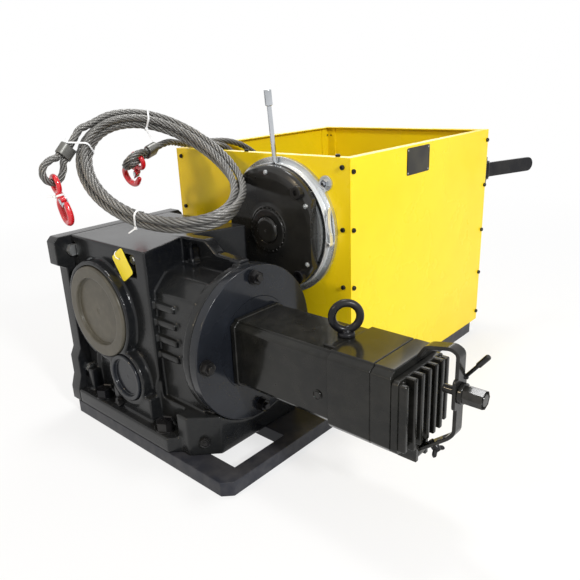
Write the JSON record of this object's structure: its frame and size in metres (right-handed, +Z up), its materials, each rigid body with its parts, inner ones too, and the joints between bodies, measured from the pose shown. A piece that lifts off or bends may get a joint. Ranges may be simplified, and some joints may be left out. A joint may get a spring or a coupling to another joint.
{
  "type": "electric winch",
  "caption": "Electric deck winch: bevel gearbox and square motor on a base frame, covered double rope drum, holding brake, two wire ropes with hooks.",
  "frame": {"origin": "centre of the base plate's underside", "axes": "+X along the motor, away from the gearbox; +Y along the drum, from the gearbox to the covered drum; +Z up"},
  "size_m": [0.9353, 1.1948, 0.704],
  "materials": {
    "black_casting": "satin",
    "motor_black": "satin",
    "base_paint": "satin",
    "yellow_paint": "satin",
    "zinc": "satin",
    "black_oxide": "satin",
    "bare_steel": "satin",
    "chrome": "polished",
    "wire_rope": "satin",
    "hook_red": "gloss",
    "friction_lining": "matte",
    "tag_yellow": "matte",
    "plate_dark": "satin"
  },
  "bodies": {
    "base": {"base_frame": "base_paint", "gearbox_housing": "black_casting", "gearbox_end_plate": "black_casting", "end_plate_bolts": "zinc", "output_bore_cover": "black_casting", "bevel_shaft_cover": "black_casting", "input_adapter": "black_casting", "adapter_bolts": "black_oxide", "oil_plugs": "black_oxide", "foot_bolts": "black_oxide", "oil_tag": "tag_yellow", "output_bearings": "bare_steel", "bearing_pedestals": "base_paint", "shaft_bearings": "bare_steel", "motor_housing": "motor_black", "motor_rear_housing": "motor_black", "motor_end_cover": "motor_black", "motor_eyebolt": "black_oxide", "motor_bearings": "bare_steel", "bail_bracket": "motor_black", "brake_mounting_plate": "zinc", "magnet_housing": "motor_black", "brake_cap": "motor_black", "brake_screws": "black_oxide", "brake_band": "chrome", "cover_front": "yellow_paint", "cover_rear": "yellow_paint", "cover_left": "yellow_paint", "cover_right": "yellow_paint", "corner_posts": "yellow_paint", "cover_screws": "black_oxide", "nameplate": "plate_dark", "lever_bracket": "black_oxide", "rope_lead_a": "wire_rope", "rope_coil_a": "wire_rope", "rope_tail_a": "wire_rope", "rope_lead_b": "wire_rope", "rope_eyes": "wire_rope", "rope_ferrules": "black_oxide", "rope_hooks": "hook_red"},
    "drum": {"output_shaft": "bare_steel", "drum_shaft": "bare_steel", "rope_drum": "black_casting", "drum_flanges": "black_casting", "drum_gear": "bare_steel", "drum_rope": "wire_rope"},
    "brake_rotor": {"brake_shaft": "bare_steel", "brake_gear": "bare_steel", "friction_disc": "friction_lining"},
    "motor_rotor": {"motor_rotor": "bare_steel"},
    "armature": {"armature_plate": "zinc"},
    "hand_lever": {"brake_hand_lever": "chrome"},
    "latch": {"band_latch": "chrome"},
    "bail": {"release_bail": "motor_black"},
    "knob": {"release_knob": "motor_black"},
    "wing": {"wing_screw": "motor_black"},
    "side_lever": {"side_lever": "black_oxide"},
    "hook_latch_a": {"hook_a_latch": "chrome"},
    "hook_latch_b": {"hook_b_latch": "chrome"}
  },
  "joints": [
    {"name": "drum_spin", "type": "hinge", "parent": "base", "child": "drum", "pos_m": [-0.13, 0, 0.275], "axis": [0, 1, 0], "continuous": true},
    {"name": "brake_spin", "type": "hinge", "parent": "base", "child": "brake_rotor", "pos_m": [0.08, 0, 0.414], "axis": [0, 1, 0], "continuous": true},
    {"name": "motor_spin", "type": "hinge", "parent": "base", "child": "motor_rotor", "pos_m": [0.3, -0.316, 0.232], "axis": [1, 0, 0], "continuous": true},
    {"name": "hand_lever_pull", "type": "hinge", "parent": "base", "child": "hand_lever", "pos_m": [0.08, -0.123, 0.532], "axis": [1, 0, 0], "range_deg": [0, 8], "stiffness_Nm_per_rad": 3, "springref_deg": -2.86},
    {"name": "armature_lift", "type": "slide", "parent": "base", "child": "armature", "axis": [0, -1, 0], "range_m": [0, 0.0008]},
    {"name": "latch_open", "type": "hinge", "parent": "base", "child": "latch", "pos_m": [0.22389, -0.1243, 0.39378], "axis": [0, 1, 0], "range_deg": [0, 120]},
    {"name": "bail_pull", "type": "hinge", "parent": "base", "child": "bail", "pos_m": [0.545, -0.316, 0.137], "axis": [0, 1, 0], "range_deg": [0, 8], "stiffness_Nm_per_rad": 20, "springref_deg": -2.86},
    {"name": "knob_turn", "type": "hinge", "parent": "bail", "child": "knob", "pos_m": [0.613, -0.316, 0.266], "axis": [1, 0, 0], "range_deg": [-90, 90]},
    {"name": "wing_turn", "type": "hinge", "parent": "bail", "child": "wing", "pos_m": [0.5745, -0.316, 0.1615], "axis": [0.6388, 0, -0.7694], "continuous": true},
    {"name": "side_lever_turn", "type": "hinge", "parent": "base", "child": "side_lever", "pos_m": [0.256, 0.53, 0.46], "axis": [0, 0, 1], "range_deg": [-55, 20]},
    {"name": "hook_latch_a_open", "type": "hinge", "parent": "base", "child": "hook_latch_a", "pos_m": [-0.21691, -0.46517, 0.50454], "axis": [0.1447, 0.9819, 0.1225], "range_deg": [0, 40], "stiffness_Nm_per_rad": 0.02, "springref_deg": -20.05},
    {"name": "hook_latch_b_open", "type": "hinge", "parent": "base", "child": "hook_latch_b", "pos_m": [-0.22246, -0.27002, 0.53512], "axis": [-0.0182, 0.9555, 0.2944], "range_deg": [0, 40], "stiffness_Nm_per_rad": 0.02, "springref_deg": -20.05}
  ],
  "couplings": [
    {"joint": "brake_spin", "follows": "drum_spin", "ratio": -1},
    {"joint": "motor_spin", "follows": "drum_spin", "ratio": 32},
    {"joint": "armature_lift", "follows": "hand_lever_pull", "m_per_rad": 0.0057}
  ]
}
